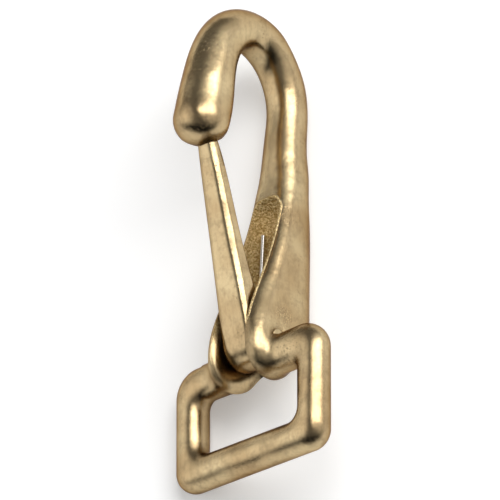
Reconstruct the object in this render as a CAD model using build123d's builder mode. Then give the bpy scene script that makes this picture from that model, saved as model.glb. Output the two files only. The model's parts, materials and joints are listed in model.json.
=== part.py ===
from build123d import *
import os
from math import acos, asin, atan2, cos, degrees, radians, sin, sqrt

# A cast brass strap snap: a rectangular strap loop and a hook in one casting, a hinged gate,
# the pin it turns on and the spring that keeps it shut.
# Millimetres. The hook's own frame has X across the strap loop, Y from the nose (front, minus)
# to the shank (back, plus) and Z up the shank, from the middle of the loop's bottom bar.

# Strap loop
strap_width = 20.0
loop_height = 8.7
loop_bar = 5.2
loop_side_bar = 4.9
loop_depth = 4.8
loop_bar_round = 2.3
loop_outer_top = 4.6
loop_outer_bottom = 3.2
loop_inner_top = 1.0
loop_inner_bottom = 1.6
loop_offset = -0.2
loop_right_rise = 1.0
loop_outer_top_right = 4.0
flare_root = 4.6
flare_reach = 4.4
flare_height = 0.9
flare_sink = 0.1

# Shank, arch and nose, as half-widths of a bar that is flattened on its inner side
shank_back = 9.75
shank_radius = 3.0
resting_radius = 4.25
resting_z = 38.0
crown_radius = 3.25
nose_radius = 4.3
nose_round = 3.5
nose_y = -12.6
nose_z = 46.6
crown_y = -1.7
crown_z = 66.8
arch_foot_z = 52.0
arch_back_y = 6.6
arch_back_z = 59.0
arch_rise_y = 4.1
arch_rise_z = 64.0
arch_fall_y = -6.9
arch_fall_z = 63.8
arch_front_y = -9.5
arch_front_z = 57.2

# Cheeks: the lobes round the pivot, and the chin that runs up from them to the back
cheek_half_width = 5.6
cheek_low_half_width = 5.3
cheek_front = -5.5
cheek_round = 2.6
lobe_round = 2.0
lobe_y = -0.7
lobe_z = 15.6
chin_lean = 32.0
chin_length = 14.0
lobe_clearance = 4.0

# Slot between the cheeks
slot_low_half_width = 3.5
slot_high_half_width = 2.9
slot_low_z = 17.0
slot_bottom = 6.0
slot_floor = 4.3
slot_top = 41.8
slot_scoop = 3.2
slot_floor_round = 2.0

# Pivot and pin
pivot_y = -0.5
pivot_z = 17.1
pin_radius = 1.1
pin_running_gap = 0.05
pin_inset = 0.06

# Gate
gate_tip_z = 47.3
gate_tip_front = -10.95
gate_tip_half_width = 1.5
gate_low_half_width = 2.95
gate_tip_thickness = 1.65
gate_round = 1.1
gate_back_round = 0.35
gate_tip_round = 0.25
gate_web = 1.3
gate_channel_half_width = 2.0
gate_channel_top = 26.5
seat_gap = 0.08
seat_side_gap = 0.3
seat_swing_gap = 0.25

# How far a cutting tool reaches past everything it cuts
tool_reach = 20.0

# Spring
wire_radius = 0.35
coil_gap = 0.25
coil_full_turns = 1
turn_gap = 0.05
coil_shift = 0.15
body_leg_top = 36.3
gate_leg_inset = 1.5
leg_gap = 0.1
body_leg_gap = 0.35

lobe_radius = lobe_y - cheek_front
half_inner = strap_width / 2
half_outer = half_inner + loop_side_bar
loop_bottom_z = -loop_bar / 2
loop_top_z = loop_bar / 2 + loop_height + loop_bar


def side(x=0.0):
    """The plane seen from the hook's right: local X runs to the back, local Y up."""
    return Plane(origin=(x, 0, 0), x_dir=(0, 1, 0), z_dir=(1, 0, 0))


def bar_section(plane, half_width, back, front, corner):
    """A bar's outline: half a circle at the back and rounded corners on its inner face."""
    centre = back - half_width
    with BuildSketch(plane) as outline:
        with BuildLine():
            ThreePointArc((half_width, centre), (0, back), (-half_width, centre))
            Line((-half_width, centre), (-half_width, front + corner))
            RadiusArc((-half_width, front + corner), (-half_width + corner, front), -corner)
            Line((-half_width + corner, front), (half_width - corner, front))
            RadiusArc((half_width - corner, front), (half_width, front + corner), -corner)
            Line((half_width, front + corner), (half_width, centre))
        make_face()
    return outline.sketch


# Centre line of the arch, from the shank over the crown to the end of the nose
with BuildLine(side()) as centre_line:
    Spline(
        (shank_back - shank_radius, arch_foot_z),
        (arch_back_y, arch_back_z),
        (arch_rise_y, arch_rise_z),
        (crown_y, crown_z),
        (arch_fall_y, arch_fall_z),
        (arch_front_y, arch_front_z),
        (nose_y, nose_z),
    )
arch_path = centre_line.wires()[0]


def across_arch(share, half_width, outer, inner, corner):
    """The bar's section across the centre line, its flattened side turned to the bowl."""
    tangent = arch_path.tangent_at(share)
    plane = Plane(origin=arch_path.position_at(share), x_dir=(1, 0, 0), z_dir=tangent)
    return bar_section(plane, half_width, outer, -inner, corner)


# Sections up the cheeks and the shank: height, half-width, back, front, inner corner
cheek_back = shank_back - 0.6
shank = [
    bar_section(Plane.XY.offset(height), half_width, back, front, corner)
    for height, half_width, back, front, corner in (
        (8.0, cheek_low_half_width, cheek_back, cheek_front, cheek_round),
        (16.0, cheek_half_width, cheek_back, cheek_front, cheek_round),
        (21.0, 5.15, cheek_back + 0.15, -4.65, 2.6),
        (27.0, 4.85, cheek_back + 0.3, -2.1, 2.4),
        (33.0, 4.65, cheek_back + 0.5, 0.5, 1.9),
        (resting_z, resting_radius, shank_back, 1.9, 2.1),
        (43.0, 3.8, shank_back, 2.8, 2.3),
        (48.0, 3.3, shank_back, 3.35, 2.4),
    )
]
crown_share = 0.36
crown_depth = 2.55
crown_back = 3.15
rise = [
    across_arch(0.0, shank_radius, shank_radius, 3.1, 2.4),
    across_arch(0.12, 2.95, 2.95, 2.85, 2.3),
    across_arch(0.24, 3.05, 2.95, 2.65, 2.2),
    across_arch(crown_share - 0.02, crown_radius - 0.02, crown_back, crown_depth, 2.2),
    across_arch(crown_share, crown_radius, crown_back, crown_depth, 2.2),
]
fall = [
    across_arch(crown_share, crown_radius, crown_back, crown_depth, 2.2),
    across_arch(crown_share + 0.02, crown_radius + 0.02, crown_back, crown_depth, 2.2),
    across_arch(0.48, 3.45, 3.3, 2.7, 2.3),
    across_arch(0.61, 3.7, 3.5, 3.1, 2.6),
    across_arch(0.74, 3.9, 3.8, 3.45, 3.0),
    across_arch(0.87, 4.15, 4.15, 4.0, 3.6),
    across_arch(1.0, nose_radius, nose_radius, nose_radius - 0.2, 3.8),
]

# Strap loop: a rounded bar bent round a rectangle
with BuildPart() as loop:
    with BuildSketch(Plane.XZ.offset(-loop_offset)) as loop_face:
        with BuildLine():
            Polyline(
                (-half_outer, loop_bottom_z),
                (half_outer, loop_bottom_z),
                (half_outer, loop_top_z + loop_right_rise),
                (-half_outer, loop_top_z),
                close=True,
            )
        make_face()
        fillet(loop_face.vertices().group_by(Axis.Y)[0], loop_outer_bottom)
        fillet(loop_face.vertices().sort_by(Axis.Y)[-1], loop_outer_top_right)
        fillet(loop_face.vertices().group_by(Axis.X)[0].sort_by(Axis.Y)[-1], loop_outer_top)
    extrude(amount=loop_depth / 2, both=True)
    with BuildSketch(Plane.XZ.offset(-loop_offset)) as window:
        with Locations((0, loop_bar / 2 + loop_height / 2)):
            Rectangle(strap_width, loop_height)
        fillet(window.vertices().group_by(Axis.Y)[0], loop_inner_bottom)
        fillet(window.vertices().group_by(Axis.Y)[-1], loop_inner_top)
    extrude(amount=loop_depth, both=True, mode=Mode.SUBTRACT)
    rims = loop.faces().group_by(Axis.Y)[0].edges() + loop.faces().group_by(Axis.Y)[-1].edges()
    fillet(rims, loop_bar_round)

# The casting's swell where each side of the loop's top bar runs into a cheek
bar_middle_z = loop_bar / 2 + loop_height + loop_bar / 2
with BuildPart() as flares:
    for share, swell in ((0.0, 1.0), (0.3, 0.45), (0.65, 0.1), (1.0, 0.0)):
        grown = flare_height * swell
        with BuildSketch(side(flare_root + flare_reach * share)):
            with Locations((loop_offset, bar_middle_z + loop_right_rise / 4 + grown / 2)):
                RectangleRounded(
                    loop_depth + 2 * (grown - flare_sink),
                    loop_bar + loop_right_rise / 2 + grown - 2 * flare_sink,
                    loop_bar_round + (grown - 2 * flare_sink) / 2,
                )
    loft()
    mirror(about=Plane.YZ)

# What is cut away below the cheeks: under the round lobes and the sloping chin
chin_start = (
    lobe_y + lobe_radius * cos(radians(-chin_lean)),
    lobe_z + lobe_radius * sin(radians(-chin_lean)),
)
chin_end = (
    chin_start[0] + chin_length * sin(radians(chin_lean)),
    chin_start[1] + chin_length * cos(radians(chin_lean)),
)
with BuildPart() as under_chin:
    with BuildSketch(side()):
        with BuildLine():
            Polyline(
                (lobe_y - lobe_radius, lobe_z),
                (lobe_y - lobe_radius - lobe_clearance, lobe_z),
                (lobe_y - lobe_radius - lobe_clearance, 0),
                (chin_end[0], 0),
                chin_end,
                chin_start,
            )
            ThreePointArc(
                chin_start,
                (lobe_y, lobe_z - lobe_radius),
                (lobe_y - lobe_radius, lobe_z),
            )
        make_face()
    extrude(amount=2 * cheek_half_width, both=True)

# The slot that the gate hinges in: open in front and below, scooped out at its top
with BuildPart() as slot:
    with BuildSketch(side()):
        with BuildLine():
            Line((slot_floor, slot_bottom), (slot_floor, slot_top - slot_scoop))
            RadiusArc(
                (slot_floor, slot_top - slot_scoop),
                (slot_floor - slot_scoop, slot_top),
                -slot_scoop,
            )
            Line((slot_floor - slot_scoop, slot_top), (-tool_reach, slot_top))
            Line((-tool_reach, slot_top), (-tool_reach, slot_bottom))
            Line((-tool_reach, slot_bottom), (slot_floor, slot_bottom))
        make_face()
    extrude(amount=slot_low_half_width + 1, both=True)
    with BuildSketch(Plane.XZ) as mouth:
        with BuildLine():
            Polyline(
                (slot_low_half_width, slot_bottom),
                (slot_low_half_width, slot_low_z),
                (slot_high_half_width, slot_top),
                (-slot_high_half_width, slot_top),
                (-slot_low_half_width, slot_low_z),
                (-slot_low_half_width, slot_bottom),
                close=True,
            )
        make_face()
        fillet(mouth.vertices().group_by(Axis.Y)[-1], slot_high_half_width - 0.1)
    extrude(amount=tool_reach, both=True, mode=Mode.INTERSECT)
    floor_edges = slot.faces().sort_by(Axis.Y)[-1].edges().filter_by(Axis.Z)
    fillet(floor_edges, slot_floor_round)

pivot = Vector(pivot_y, pivot_z)
gate_tip = Vector(gate_tip_front, gate_tip_z)


def tangent_angle(radius, end, turn):
    """Where round the pivot a straight line to an end leaves a circle, in degrees."""
    reach = end - pivot
    return degrees(atan2(reach.Y, reach.X)) + turn * degrees(acos(radius / reach.length))


def on_circle(radius, angle):
    """A point round the pivot, its angle measured from the back upwards."""
    return pivot + Vector(radius * cos(radians(angle)), radius * sin(radians(angle)))


coil_radius = pin_radius + coil_gap + wire_radius
knuckle_hollow = coil_radius + wire_radius + coil_gap
knuckle_radius = knuckle_hollow + gate_web
gate_foot = on_circle(knuckle_radius, tangent_angle(knuckle_radius, gate_tip, 1))
gate_slope = (gate_tip.X - gate_foot.X) / (gate_tip.Y - gate_foot.Y)


def gate_front_at(height):
    """The Y of the gate's front face at a height above its knuckle."""
    return gate_foot.X + gate_slope * (height - gate_foot.Y)


# The pocket in the nose that the gate's tip shuts against, clear of the tip's swing
tip_reach = (gate_tip - pivot).length
seat_half_width = gate_tip_half_width + seat_side_gap
seat_low_z = gate_tip_z - 4
seat_high_z = gate_tip_z + 4
with BuildPart() as seat:
    with BuildSketch(side()):
        with Locations(pivot):
            Circle(tip_reach + seat_swing_gap)
        with BuildLine():
            Polyline(
                (gate_front_at(seat_low_z) - seat_gap, seat_low_z),
                (gate_front_at(seat_high_z) - seat_gap, seat_high_z),
                (0, seat_high_z),
                (0, seat_low_z),
                close=True,
            )
        make_face(mode=Mode.INTERSECT)
    extrude(amount=seat_half_width, both=True)

with BuildPart() as hook_body:
    loft(shank + rise)
    loft(fall)
    nose_end = hook_body.faces().filter_by(GeomType.PLANE).sort_by(Axis.Y)[0]
    fillet(nose_end.edges(), nose_round)
    add(under_chin.part, mode=Mode.SUBTRACT)
    lobe_faces = hook_body.faces().filter_by(GeomType.CYLINDER).sort_by(Axis.Z)[:1]
    lobe_rims = lobe_faces.edges().filter_by(lambda edge: abs(edge.center().X) > slot_low_half_width)
    fillet(lobe_rims, lobe_round)
    add(loop.part)
    add(flares.part)
    add(slot.part, mode=Mode.SUBTRACT)
    add(seat.part, mode=Mode.SUBTRACT)
    with BuildSketch(side()):
        with Locations(pivot):
            Circle(pin_radius)
    extrude(amount=cheek_half_width + 1, both=True, mode=Mode.SUBTRACT)

# Gate: a tapering tongue, round in front, on a round knuckle, its back hollowed for the spring
front_line = Vector(0, gate_tip.X - gate_foot.X, gate_tip.Y - gate_foot.Y)


def tongue_section(share, half_width, thickness, front_round, back_round):
    """The gate's section square to its front face, at a share of the way up to its tip."""
    foot = Vector(0, gate_foot.X, gate_foot.Y)
    plane = Plane(origin=foot + front_line * share, x_dir=(1, 0, 0), z_dir=front_line)
    with BuildSketch(plane) as outline:
        with Locations((0, thickness / 2)):
            Rectangle(2 * half_width, thickness)
        fillet(outline.vertices().group_by(Axis((0, 0, 0), plane.y_dir))[0], front_round)
        fillet(outline.vertices().group_by(Axis((0, 0, 0), plane.y_dir))[-1], back_round)
    return outline.sketch


with BuildPart() as gate:
    with BuildSketch(side()):
        with Locations(pivot):
            Circle(knuckle_radius)
    extrude(amount=gate_low_half_width, both=True)
    fillet(gate.edges().filter_by(GeomType.CIRCLE), gate_round)
    loft(
        [
            tongue_section(share, half_width, thickness, front_round, gate_back_round)
            for share, half_width, thickness, front_round in (
                (0.0, gate_low_half_width, 5.2, gate_round),
                (0.2, gate_low_half_width - 0.1, 3.7, gate_round + 0.2),
                (0.4, 2.6, 2.8, gate_round + 0.3),
                (0.7, 2.15, 2.35, gate_round + 0.2),
                (1.0, gate_tip_half_width, gate_tip_thickness, gate_round),
            )
        ]
    )
    tip_end = gate.faces().filter_by(GeomType.PLANE).sort_by(Axis.Z)[-1]
    fillet(tip_end.edges(), gate_tip_round)
    with BuildSketch(side()):
        with BuildLine():
            Polyline(
                (pivot_y - knuckle_hollow, pivot_z),
                (gate_front_at(gate_channel_top) + gate_web, gate_channel_top),
                (tool_reach, gate_channel_top),
                (tool_reach, pivot_z - knuckle_hollow),
                (pivot_y, pivot_z - knuckle_hollow),
                close=True,
            )
        make_face()
        with Locations(pivot):
            Circle(knuckle_hollow)
    extrude(amount=gate_channel_half_width, both=True, mode=Mode.SUBTRACT)
    with BuildSketch(side()):
        with Locations(pivot):
            Circle(pin_radius + pin_running_gap)
    extrude(amount=gate_low_half_width + 1, both=True, mode=Mode.SUBTRACT)

with BuildPart() as pivot_pin:
    with BuildSketch(side()):
        with Locations(pivot):
            Circle(pin_radius)
    extrude(amount=cheek_half_width - pin_inset, both=True)

# Spring: turns of wire round the pin, one leg up the slot's floor and one up the gate's back
turn_pitch = 2 * wire_radius + turn_gap
body_leg_end = Vector(slot_floor - body_leg_gap - wire_radius, body_leg_top)
gate_leg_top = gate_channel_top - gate_leg_inset
gate_leg_end = Vector(
    gate_front_at(gate_leg_top) + gate_web + leg_gap + wire_radius, gate_leg_top
)


body_leg_angle = tangent_angle(coil_radius, body_leg_end, -1)
gate_leg_angle = tangent_angle(coil_radius, gate_leg_end, 1)
coil_sweep = 360 * coil_full_turns + (body_leg_angle - gate_leg_angle) % 360
coil_length = turn_pitch * coil_sweep / 360
coil_start = Plane(
    origin=(coil_shift - coil_length / 2, pivot_y, pivot_z),
    x_dir=(0, cos(radians(body_leg_angle)), sin(radians(body_leg_angle))),
    z_dir=(1, 0, 0),
)
coil = coil_start * Helix(turn_pitch, coil_length, coil_radius, lefthand=True)


def leg_along(direction, end):
    """A straight leg that runs on from the coil as far as its end."""
    straight = sqrt((end - pivot).length ** 2 - coil_radius**2)
    return direction * (straight / sqrt(1 - direction.X**2))


with BuildPart() as spring:
    with BuildLine() as wire:
        Line((coil @ 0) - leg_along(coil % 0, body_leg_end), coil @ 0)
        add(coil)
        Line(coil @ 1, (coil @ 1) + leg_along(coil % 1, gate_leg_end))
    wire_path = wire.wires()[0]
    with BuildSketch(Plane(origin=wire_path @ 0, z_dir=wire_path % 0)):
        Circle(wire_radius)
    sweep(path=wire_path)

# The hook lies on the back of its shank and one corner of its loop, rolled over until both touch
rest_reach = shank_back - resting_radius
corner_reach = Vector(
    half_outer - loop_bar_round, rest_reach - (loop_offset + loop_depth / 2 - loop_bar_round)
)
roll = atan2(corner_reach.Y, corner_reach.X) + asin(
    (resting_radius - loop_bar_round) / corner_reach.length
)
up = Vector(sin(roll), -cos(roll), 0)
along_floor = Vector(cos(roll), sin(roll), 0)
tilted_floor = Plane(origin=(0, 0, 0), x_dir=along_floor, z_dir=up)
box = hook_body.part.moved(tilted_floor.location.inverse()).bounding_box()
ground = Vector(box.center().X, box.center().Y, box.min.Z)
floor = Plane(origin=tilted_floor.from_local_coords(ground), x_dir=along_floor, z_dir=up)
laid_down = floor.location.inverse()

hook_body.part.label = "hook_body"
gate.part.label = "gate"
pivot_pin.part.label = "pivot_pin"
spring.part.label = "spring"
os.makedirs("parts", exist_ok=True)
for piece in (hook_body, gate, pivot_pin, spring):
    piece.part.move(laid_down)
    export_step(piece.part, f"parts/{piece.part.label}.step")
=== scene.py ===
import json
from math import cos, radians, sin

import bpy
from mathutils import Matrix, Vector


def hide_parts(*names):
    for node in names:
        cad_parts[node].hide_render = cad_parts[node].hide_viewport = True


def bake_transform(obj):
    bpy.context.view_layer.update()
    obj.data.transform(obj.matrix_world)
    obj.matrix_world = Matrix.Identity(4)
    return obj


# A cast brass snap hook lying at rest on a pale floor. Every place is worked out from the frame:
# the hook's own axes come from its joint and its strap mount, as it lies rolled over on its back.
# Lengths are in metres, and MM is a millimetre.
MM = 0.001
WHITE = (1.0, 1.0, 1.0, 1.0)

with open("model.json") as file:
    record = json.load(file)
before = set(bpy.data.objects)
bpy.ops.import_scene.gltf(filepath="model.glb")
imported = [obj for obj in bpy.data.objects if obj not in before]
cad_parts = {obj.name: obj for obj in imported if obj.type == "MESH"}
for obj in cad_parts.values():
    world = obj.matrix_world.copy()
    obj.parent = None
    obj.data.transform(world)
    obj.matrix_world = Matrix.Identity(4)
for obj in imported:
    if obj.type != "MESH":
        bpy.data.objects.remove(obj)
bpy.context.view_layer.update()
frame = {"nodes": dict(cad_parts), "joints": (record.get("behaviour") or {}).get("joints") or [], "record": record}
nodes = frame["nodes"]

hinge = frame["joints"][0]
mounts = {mount["name"]: mount for mount in frame["record"]["mounts"]}
strap_eye = mounts["strap_eye"]

# The hook's own axes: across it, towards its back, and along it from the strap loop to the arch
across = -Vector(hinge["axis"]).normalized()
back = -Vector(strap_eye["axis"]).normalized()
along = across.cross(back)

# Where the centre of the strap eye lies from the hook's origin, in its plane of symmetry
EYE_BACK = -0.2 * MM
EYE_ALONG = 6.95 * MM
hook_origin = Vector(strap_eye["pos_m"]) - back * EYE_BACK - along * EYE_ALONG


def in_hook(x, y, z):
    """A point of the scene, from millimetres across, to the back of and along the hook."""
    return hook_origin + (across * x + back * y + along * z) * MM


# The camera sees the hook from the photo's viewing angle, about the hook's own axes
PHOTO_SIZE = 500
PIXELS_PER_MM = 6.87
CAMERA_AZIMUTH = radians(45)
CAMERA_ELEVATION = radians(-23)
# Where the photo shows the hook's origin, in pixels from the left and from the top
ORIGIN_LEFT = 254.4
ORIGIN_TOP = 455.6
# A lens so long that the view is nearly parallel, and the sensor's width, both in millimetres
LENS = 1060.0
SENSOR = 36.0
# The nearest and the farthest that the camera sees, as shares of its distance
CLIP_START_SHARE = 0.05
CLIP_END_SHARE = 10


def from_pixels(pixels):
    """A length square to the view, from pixels of the photo."""
    return pixels / PIXELS_PER_MM * MM


level_view = across * sin(CAMERA_AZIMUTH) - back * cos(CAMERA_AZIMUTH)
to_camera = level_view * cos(CAMERA_ELEVATION) + along * sin(CAMERA_ELEVATION)
camera_up = along * cos(CAMERA_ELEVATION) - level_view * sin(CAMERA_ELEVATION)
camera_right = camera_up.cross(to_camera)
camera_reach = from_pixels(PHOTO_SIZE / 2) / (SENSOR / 2 / LENS)
middle = (
    hook_origin
    + camera_right * from_pixels(PHOTO_SIZE / 2 - ORIGIN_LEFT)
    + camera_up * from_pixels(ORIGIN_TOP - PHOTO_SIZE / 2)
)


def from_middle(out, right, up):
    """A direction by its shares towards the camera, to the right and up, as the camera sees it."""
    return to_camera * out + camera_right * right + camera_up * up


def aim_at_middle(name, data, right, up, out, reach):
    """Adds a camera or a lamp that looks at the middle of the view, from a distance."""
    item = bpy.data.objects.new(name, data)
    bpy.context.scene.collection.objects.link(item)
    turn = Matrix((right, up, out)).transposed().to_4x4()
    item.matrix_world = Matrix.Translation(middle + out * reach) @ turn
    return item


camera_data = bpy.data.cameras.new("Camera")
camera_data.lens = LENS
camera_data.sensor_width = SENSOR
camera_data.clip_start = camera_reach * CLIP_START_SHARE
camera_data.clip_end = camera_reach * CLIP_END_SHARE
camera = aim_at_middle("Camera", camera_data, camera_right, camera_up, to_camera, camera_reach)
bpy.context.scene.camera = camera

# The colour sockets of a mix node, by number: its other kinds of value use the same names
MIX_FACTOR = 0
MIX_FIRST = 6
MIX_SECOND = 7
MIX_RESULT = 2
# How many rays the rounding of edges takes
BEVEL_SAMPLES = 8


class Nodes:
    """Adds nodes to one tree. A value is a plain one or another node's output."""

    def __init__(self, tree):
        self.tree = tree

    def add(self, kind, **settings):
        """A new node with its settings."""
        node = self.tree.nodes.new(kind)
        for name, value in settings.items():
            setattr(node, name, value)
        return node

    def feed(self, socket, value):
        """Links a socket, or sets it where the value is a plain one."""
        if isinstance(value, bpy.types.NodeSocket):
            self.tree.links.new(value, socket)
        else:
            socket.default_value = value

    def ramp(self, value, span, start=0.0, end=1.0, **settings):
        """Maps a value's span, from its low to its high end, onto start to end, and clamps it."""
        node = self.add("ShaderNodeMapRange", **settings)
        low, high = span
        self.feed(node.inputs["Value"], value)
        node.inputs["From Min"].default_value = low
        node.inputs["From Max"].default_value = high
        node.inputs["To Min"].default_value = start
        node.inputs["To Max"].default_value = end
        return node.outputs["Result"]

    def math(self, operation, first, second=0.0):
        """Works something out from two numbers, or from the first alone."""
        node = self.add("ShaderNodeMath", operation=operation)
        self.feed(node.inputs[0], first)
        self.feed(node.inputs[1], second)
        return node.outputs["Value"]

    def times(self, first, second):
        """Two numbers multiplied."""
        return self.math("MULTIPLY", first, second)

    def beyond(self, value, limit):
        """How far a value goes past a limit, and nought before it."""
        return self.math("MAXIMUM", self.math("SUBTRACT", value, limit), 0.0)

    def length(self, first, second):
        """How long the line is that has these two lengths as its legs."""
        squares = self.math("ADD", self.times(first, first), self.times(second, second))
        return self.math("SQRT", squares)

    def vector(self, operation, first, second):
        """The node that works something out from two vectors."""
        node = self.add("ShaderNodeVectorMath", operation=operation)
        self.feed(node.inputs[0], first)
        self.feed(node.inputs[1], second)
        return node

    def mix(self, factor, first, second):
        """The first colour where the factor is nought, and the second where it is one."""
        node = self.add("ShaderNodeMix", data_type="RGBA")
        self.feed(node.inputs[MIX_FACTOR], factor)
        self.feed(node.inputs[MIX_FIRST], first)
        self.feed(node.inputs[MIX_SECOND], second)
        return node.outputs[MIX_RESULT]


class Shader(Nodes):
    """One material: a plain surface, and what is painted, roughened and bumped on top of it."""

    def __init__(self, name, colour, roughness, metallic=0.0):
        self.material = bpy.data.materials.new(name)
        self.material.use_nodes = True
        super().__init__(self.material.node_tree)
        self.surface = self.tree.nodes["Principled BSDF"]
        self.surface.inputs["Base Color"].default_value = colour
        self.surface.inputs["Roughness"].default_value = roughness
        self.surface.inputs["Metallic"].default_value = metallic
        self.place = self.add("ShaderNodeTexCoord").outputs["Object"]
        self.colour = colour
        self.roughness = roughness
        self.normal = None
        # One deep in a hollow and nought on an open face, where the material works that out
        self.hollow = 0.0

    def noise(self, scale, detail, roughness, at=None):
        """A cloudy pattern between nought and one."""
        node = self.add("ShaderNodeTexNoise")
        self.feed(node.inputs["Vector"], self.place if at is None else at)
        node.inputs["Scale"].default_value = scale
        node.inputs["Detail"].default_value = detail
        node.inputs["Roughness"].default_value = roughness
        return node.outputs["Fac"]

    def scaled(self, scale):
        """The surface's places, with each axis scaled by itself."""
        node = self.add("ShaderNodeMapping", vector_type="POINT")
        self.feed(node.inputs["Vector"], self.place)
        node.inputs["Scale"].default_value = scale
        return node.outputs["Vector"]

    def reach(self, direction):
        """How far a point lies from the hook's origin along a direction."""
        offset = self.vector("SUBTRACT", self.place, hook_origin)
        return self.vector("DOT_PRODUCT", offset.outputs["Vector"], direction).outputs["Value"]

    def distance(self, point):
        """How far the surface is from a point."""
        return self.vector("DISTANCE", self.place, point).outputs["Value"]

    def paint(self, cover, colour):
        """Lays a colour over the one so far, as much as the cover says."""
        self.colour = self.mix(cover, self.colour, colour)
        self.feed(self.surface.inputs["Base Color"], self.colour)

    def roughen(self, amount):
        """Adds to the roughness so far."""
        self.roughness = self.math("ADD", self.roughness, amount)
        self.feed(self.surface.inputs["Roughness"], self.roughness)

    def round_edges(self, radius):
        """Shades the edges as if they were rounded, under the bumps that follow."""
        node = self.add("ShaderNodeBevel", samples=BEVEL_SAMPLES)
        self.feed(node.inputs["Radius"], radius)
        self.normal = node.outputs["Normal"]

    def bump(self, height, strength, depth):
        """Shades a relief of a strength and a depth over the relief so far."""
        node = self.add("ShaderNodeBump")
        node.inputs["Strength"].default_value = strength
        node.inputs["Distance"].default_value = depth
        self.feed(node.inputs["Height"], height)
        self.feed(node.inputs["Normal"], self.normal)
        self.normal = node.outputs["Normal"]
        self.feed(self.surface.inputs["Normal"], self.normal)


# The slot between the cheeks, from the hook's origin: it narrows from its low end to its top,
# where its sides meet in a half round and its floor ends in a scoop round a line across the hook
SLOT_LOW = 20.0 * MM
SLOT_TOP = 41.8 * MM
SLOT_LOW_HALF_WIDTH = 3.5 * MM
SLOT_TOP_HALF_WIDTH = 2.9 * MM
ROUND_ALONG = 39.0 * MM
SCOOP_BACK = 1.1 * MM
SCOOP_ALONG = 38.6 * MM
SCOOP_RADIUS = 3.2 * MM
# How gently the slot ends at its sides, and at its low end
SLOT_FADE = 0.3 * MM
SLOT_LOW_FADE = 3.0 * MM


def in_slot(shader, margin):
    """One on the walls and floor of the slot and within a margin of them, nought elsewhere."""
    height = shader.reach(along)
    half_width = shader.ramp(height, (SLOT_LOW, SLOT_TOP), SLOT_LOW_HALF_WIDTH, SLOT_TOP_HALF_WIDTH)
    off_middle = shader.length(shader.reach(across), shader.beyond(height, ROUND_ALONG))
    past_side = shader.math("SUBTRACT", off_middle, half_width)
    between_sides = shader.ramp(past_side, (margin, margin + SLOT_FADE), 1.0, 0.0)
    behind = shader.beyond(shader.reach(back), SCOOP_BACK)
    off_scoop = shader.length(behind, shader.beyond(height, SCOOP_ALONG))
    edge = SCOOP_RADIUS + margin
    in_scoop = shader.ramp(off_scoop, (edge, edge + SLOT_FADE), 1.0, 0.0)
    above_low_end = shader.ramp(height, (SLOT_LOW - SLOT_LOW_FADE, SLOT_LOW))
    return shader.times(shader.times(between_sides, in_scoop), above_low_end)


# Base colours of clean, worn and tarnished brass, the tarnished one also painting shade in hollows, and of brass
# seen along its surface
BRASS_CLEAN = (0.58, 0.455, 0.26, 1.0)
BRASS_WORN = (0.43, 0.31, 0.165, 1.0)
BRASS_TARNISH_AND_SHADE = (0.13, 0.075, 0.035, 1.0)
BRASS_EDGE = (0.44, 0.35, 0.32, 1.0)
# Its patterns, each with its scale, its detail and its roughness
SWELLS = (95.0, 1.0, 0.5)
PATCHES = (120.0, 2.0, 0.5)
CLOUDS = (150.0, 3.0, 0.5)
DENTS = (320.0, 2.0, 0.5)
BLOTCHES = (600.0, 5.0, 0.65)
STREAKS = (1500.0, 4.0, 0.6)
SPECKS = (3000.0, 2.0, 0.5)
# The streaks are drawn out along the frame's Y, as the hook lies
STREAK_SCALE = (1.0, 0.15, 1.0)
# Where each pattern sets in and where it is at its full, for the colour
CLOUD_SPAN = (0.35, 0.65)
BLOTCH_SPAN = (0.45, 0.7)
STREAK_SPAN = (0.5, 0.75)
SPECK_SPAN = (0.65, 0.70)
PATCH_SPAN = (0.55, 0.65)
# The share of tarnish that each of them brings at its full; in hollows that is tarnish and painted shade together
BLOTCH_TARNISH = 0.4
STREAK_TARNISH = 0.2
PIT_TARNISH = 0.45
HOLLOW_TARNISH_AND_SHADE = 0.45
# The roughness outside and in the clouds, and what streaks and hollows add to it
CLOUD_GLOSS_SPAN = (0.3, 0.7)
LEAST_ROUGHNESS = 0.15
CLOUD_ROUGHNESS = 0.22
STREAK_GLOSS_SPAN = (0.4, 0.7)
STREAK_ROUGHNESS = 0.06
HOLLOW_ROUGHNESS = 0.12
# The strength and the depth of each relief
SWELL_RELIEF = (1.0, 0.7 * MM)
DENT_RELIEF = (0.5, 0.14 * MM)
BLOTCH_RELIEF = (0.4, 0.08 * MM)
STREAK_RELIEF = (0.15, 0.02 * MM)
PIT_RELIEF = (0.6, 0.05 * MM)
# How wide a hollow may be, and how open a point is where it counts as deep and as no hollow
HOLLOW_REACH = 5 * MM
HOLLOW_SPAN = (0.1, 0.6)
HOLLOW_SAMPLES = 8
# How far from the slot its rim keeps a crisp edge, and how much of the rounding it loses there
RIM = 1.2 * MM
RIM_CRISPNESS = 0.8


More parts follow.
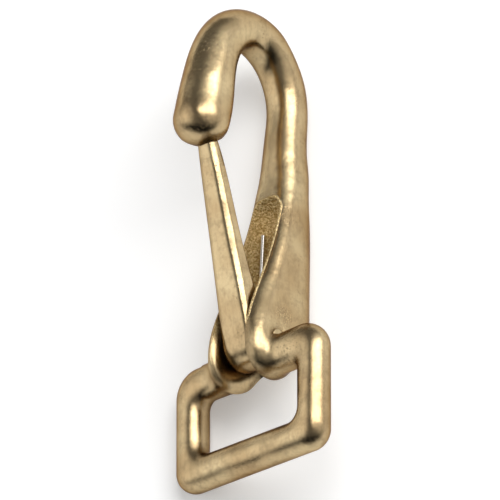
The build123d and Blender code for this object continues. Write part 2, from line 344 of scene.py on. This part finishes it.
def brass(name, rounding):
    """Worn satin brass, cloudy and rubbed, tarnished and darkened with painted shade in its hollows, with its
    edges polished round over some distance.
    """
    shader = Shader(name, BRASS_WORN, LEAST_ROUGHNESS, metallic=1.0)
    shader.surface.inputs["Specular Tint"].default_value = BRASS_EDGE
    openness = shader.add("ShaderNodeAmbientOcclusion", samples=HOLLOW_SAMPLES)
    openness.inputs["Distance"].default_value = HOLLOW_REACH
    shader.hollow = shader.ramp(openness.outputs["AO"], HOLLOW_SPAN, 1.0, 0.0)

    clouds = shader.noise(*CLOUDS)
    blotches = shader.noise(*BLOTCHES)
    streaks = shader.noise(*STREAKS, at=shader.scaled(STREAK_SCALE))
    specks = shader.ramp(shader.noise(*SPECKS), SPECK_SPAN)
    pits = shader.times(specks, shader.ramp(shader.noise(*PATCHES), PATCH_SPAN))

    shader.paint(shader.ramp(clouds, CLOUD_SPAN), BRASS_CLEAN)
    shader.paint(shader.ramp(blotches, BLOTCH_SPAN, 0.0, BLOTCH_TARNISH), BRASS_TARNISH_AND_SHADE)
    shader.paint(shader.ramp(streaks, STREAK_SPAN, 0.0, STREAK_TARNISH), BRASS_TARNISH_AND_SHADE)
    shader.paint(shader.times(pits, PIT_TARNISH), BRASS_TARNISH_AND_SHADE)
    # Tarnish and painted shade in the hollows, darker the more shut in the surface is
    shader.paint(shader.times(shader.hollow, HOLLOW_TARNISH_AND_SHADE), BRASS_TARNISH_AND_SHADE)

    shader.roughness = shader.ramp(clouds, CLOUD_GLOSS_SPAN, LEAST_ROUGHNESS, CLOUD_ROUGHNESS)
    shader.roughen(shader.ramp(streaks, STREAK_GLOSS_SPAN, 0.0, STREAK_ROUGHNESS))
    shader.roughen(shader.times(shader.hollow, HOLLOW_ROUGHNESS))

    crispness = shader.times(in_slot(shader, RIM), RIM_CRISPNESS)
    shader.round_edges(shader.times(shader.math("SUBTRACT", 1.0, crispness), rounding))
    shader.bump(shader.noise(*SWELLS), *SWELL_RELIEF)
    shader.bump(shader.noise(*DENTS), *DENT_RELIEF)
    shader.bump(blotches, *BLOTCH_RELIEF)
    shader.bump(streaks, *STREAK_RELIEF)
    shader.bump(shader.math("SUBTRACT", 1.0, pits), *PIT_RELIEF)
    return shader


# How the casting left the slot: bright grains with dark between them, tarnished and darkened with painted shade in
# hollows
CAST_BRIGHT = (0.93, 0.75, 0.40, 1.0)
CAST_DARK = (0.52, 0.34, 0.13, 1.0)
GRAINS = (3200.0, 3.0, 0.6)
GRAIN_SPAN = (0.4, 0.6)
GRAIN_RELIEF = (1.0, 0.5 * MM)
SLOT_TARNISH_AND_SHADE = 0.5
SLOT_ROUGHNESS = 0.15


def roughen_slot(shader):
    """Adds the grain of the casting to the walls and floor of the slot."""
    inside = in_slot(shader, 0.0)
    grains = shader.noise(*GRAINS)
    cast = shader.mix(shader.ramp(grains, GRAIN_SPAN), CAST_DARK, CAST_BRIGHT)
    # Tarnish and painted shade on the grain where the slot is shut in
    cast = shader.mix(shader.times(shader.hollow, SLOT_TARNISH_AND_SHADE), cast, BRASS_TARNISH_AND_SHADE)
    shader.paint(inside, cast)
    shader.roughen(shader.times(inside, SLOT_ROUGHNESS))
    shader.bump(shader.times(grains, inside), *GRAIN_RELIEF)


# Two small rough spots on the right cheek, beside the top and the foot of the slot, each with
# fine beads that fade between two distances from its middle
SPOTS = (in_hook(3.6, 3.7, 37.6), in_hook(5.4, 0.9, 21.0))
SPOT_SPAN = (0.8 * MM, 2.2 * MM)
BEADS = (4200.0, 1.0, 0.5)
BEAD_SPAN = (0.5, 0.65)
BEAD_RELIEF = (1.0, 0.07 * MM)


def roughen_spots(shader):
    """Adds the beads of the rough spots."""
    near = 0.0
    for spot in SPOTS:
        near = shader.math("MAXIMUM", shader.ramp(shader.distance(spot), SPOT_SPAN, 1.0, 0.0), near)
    beads = shader.ramp(shader.noise(*BEADS), BEAD_SPAN)
    shader.bump(shader.times(beads, near), *BEAD_RELIEF)


def dress(piece, shader):
    """Gives a piece one material."""
    piece.data.materials.clear()
    piece.data.materials.append(shader.material)


# How far the edges of each piece are polished round
BODY_ROUNDING = 2.6 * MM
GATE_ROUNDING = 1.5 * MM
PIN_ROUNDING = 0.3 * MM

cast_brass = brass("Cast brass", BODY_ROUNDING)
roughen_slot(cast_brass)
roughen_spots(cast_brass)
dress(nodes["hook_body"], cast_brass)
dress(nodes["gate"], brass("Gate brass", GATE_ROUNDING))
dress(nodes["pivot_pin"], brass("Pin brass", PIN_ROUNDING))

# The spring is a copy of the frame's own wire, freed of its parent and fixed where it lies; on the real hook it
# twists between casting and gate as the gate opens
STEEL = (0.62, 0.60, 0.57, 1.0)
STEEL_ROUGHNESS = 0.22

wire = nodes["spring"].copy()
wire.data = nodes["spring"].data.copy()
wire.name = "spring_wire"
wire.parent = None
bpy.context.scene.collection.objects.link(wire)
dress(wire, Shader("Spring steel", STEEL, STEEL_ROUGHNESS, metallic=1.0))
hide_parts("spring")
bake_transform(wire)

FLOOR_SIZE = 3.0
FLOOR_COLOUR = (0.88, 0.88, 0.88, 1.0)
FLOOR_ROUGHNESS = 0.9
# How much the floor is lifted towards white where the camera or a reflection sees it
FLOOR_LIFT = 0.25

bpy.ops.mesh.primitive_plane_add(size=FLOOR_SIZE)
floor = bpy.context.object
floor.name = "Floor"
paper = Shader("Floor", FLOOR_COLOUR, FLOOR_ROUGHNESS)
ray = paper.add("ShaderNodeLightPath").outputs
seen = paper.math("MAXIMUM", ray["Is Camera Ray"], ray["Is Glossy Ray"])
seen = paper.math("MAXIMUM", seen, ray["Is Transmission Ray"])
paper.feed(paper.surface.inputs["Emission Color"], WHITE)
paper.feed(paper.surface.inputs["Emission Strength"], paper.times(seen, FLOOR_LIFT))
dress(floor, paper)

# One wide softbox above the hook's head and to its right
KEY_TOWARDS = from_middle(0.62, 0.28, 0.70)
KEY_REACH = 1.5
KEY_WIDTH = 1.8
KEY_HEIGHT = 0.78
KEY_POWER = 16.5

key_data = bpy.data.lights.new("Key", "AREA")
key_data.shape = "RECTANGLE"
key_data.size = KEY_WIDTH
key_data.size_y = KEY_HEIGHT
key_data.energy = KEY_POWER
key_out = KEY_TOWARDS.normalized()
key_right = camera_up.cross(key_out).normalized()
key = aim_at_middle("Key", key_data, key_right, key_out.cross(key_right), key_out, KEY_REACH)
key.visible_camera = False

# A dim room, lighter round the softbox and to both sides of the hook, and dark past its foot.
# A span says how far the view has turned to a direction where the change starts and ends:
# nought is square to it, and one is straight towards it.
ROOM_BASE = 0.19
GLOW_TOWARDS = from_middle(0.56, 0.54, 0.62)
GLOW_SPAN = (0.5, 1.0)
GLOW_LEVEL = 0.8
LEFT_TOWARDS = from_middle(0.2, -0.97, 0.15)
LEFT_SPAN = (0.7, 1.0)
LEFT_LEVEL = 1.25
RIGHT_TOWARDS = from_middle(0.1, 0.9, 0.3)
RIGHT_SPAN = (0.3, 0.95)
RIGHT_LEVEL = 0.1
FOOT_SPAN = (-0.6, -0.25)
FOOT_SHARE = 0.02

world = bpy.data.worlds.new("World")
bpy.context.scene.world = world
world.use_nodes = True
room = Nodes(world.node_tree)
outward = room.add("ShaderNodeTexCoord").outputs["Generated"]


def room_level(direction, span, low, high):
    """A strength that grows smoothly from low to high as the view turns towards a direction."""
    turned = room.vector("DOT_PRODUCT", outward, direction.normalized()).outputs["Value"]
    return room.ramp(turned, span, low, high, interpolation_type="SMOOTHSTEP")


glow = room_level(GLOW_TOWARDS, GLOW_SPAN, ROOM_BASE, ROOM_BASE + GLOW_LEVEL)
left = room_level(LEFT_TOWARDS, LEFT_SPAN, 0.0, LEFT_LEVEL)
right = room_level(RIGHT_TOWARDS, RIGHT_SPAN, 0.0, RIGHT_LEVEL)
foot = room_level(camera_up, FOOT_SPAN, FOOT_SHARE, 1.0)
room_strength = room.math("ADD", room.math("ADD", left, right), glow)
background = world.node_tree.nodes["Background"]
room.feed(background.inputs["Color"], WHITE)
room.feed(background.inputs["Strength"], room.times(room_strength, foot))

bpy.context.scene.view_settings.view_transform = "Standard"
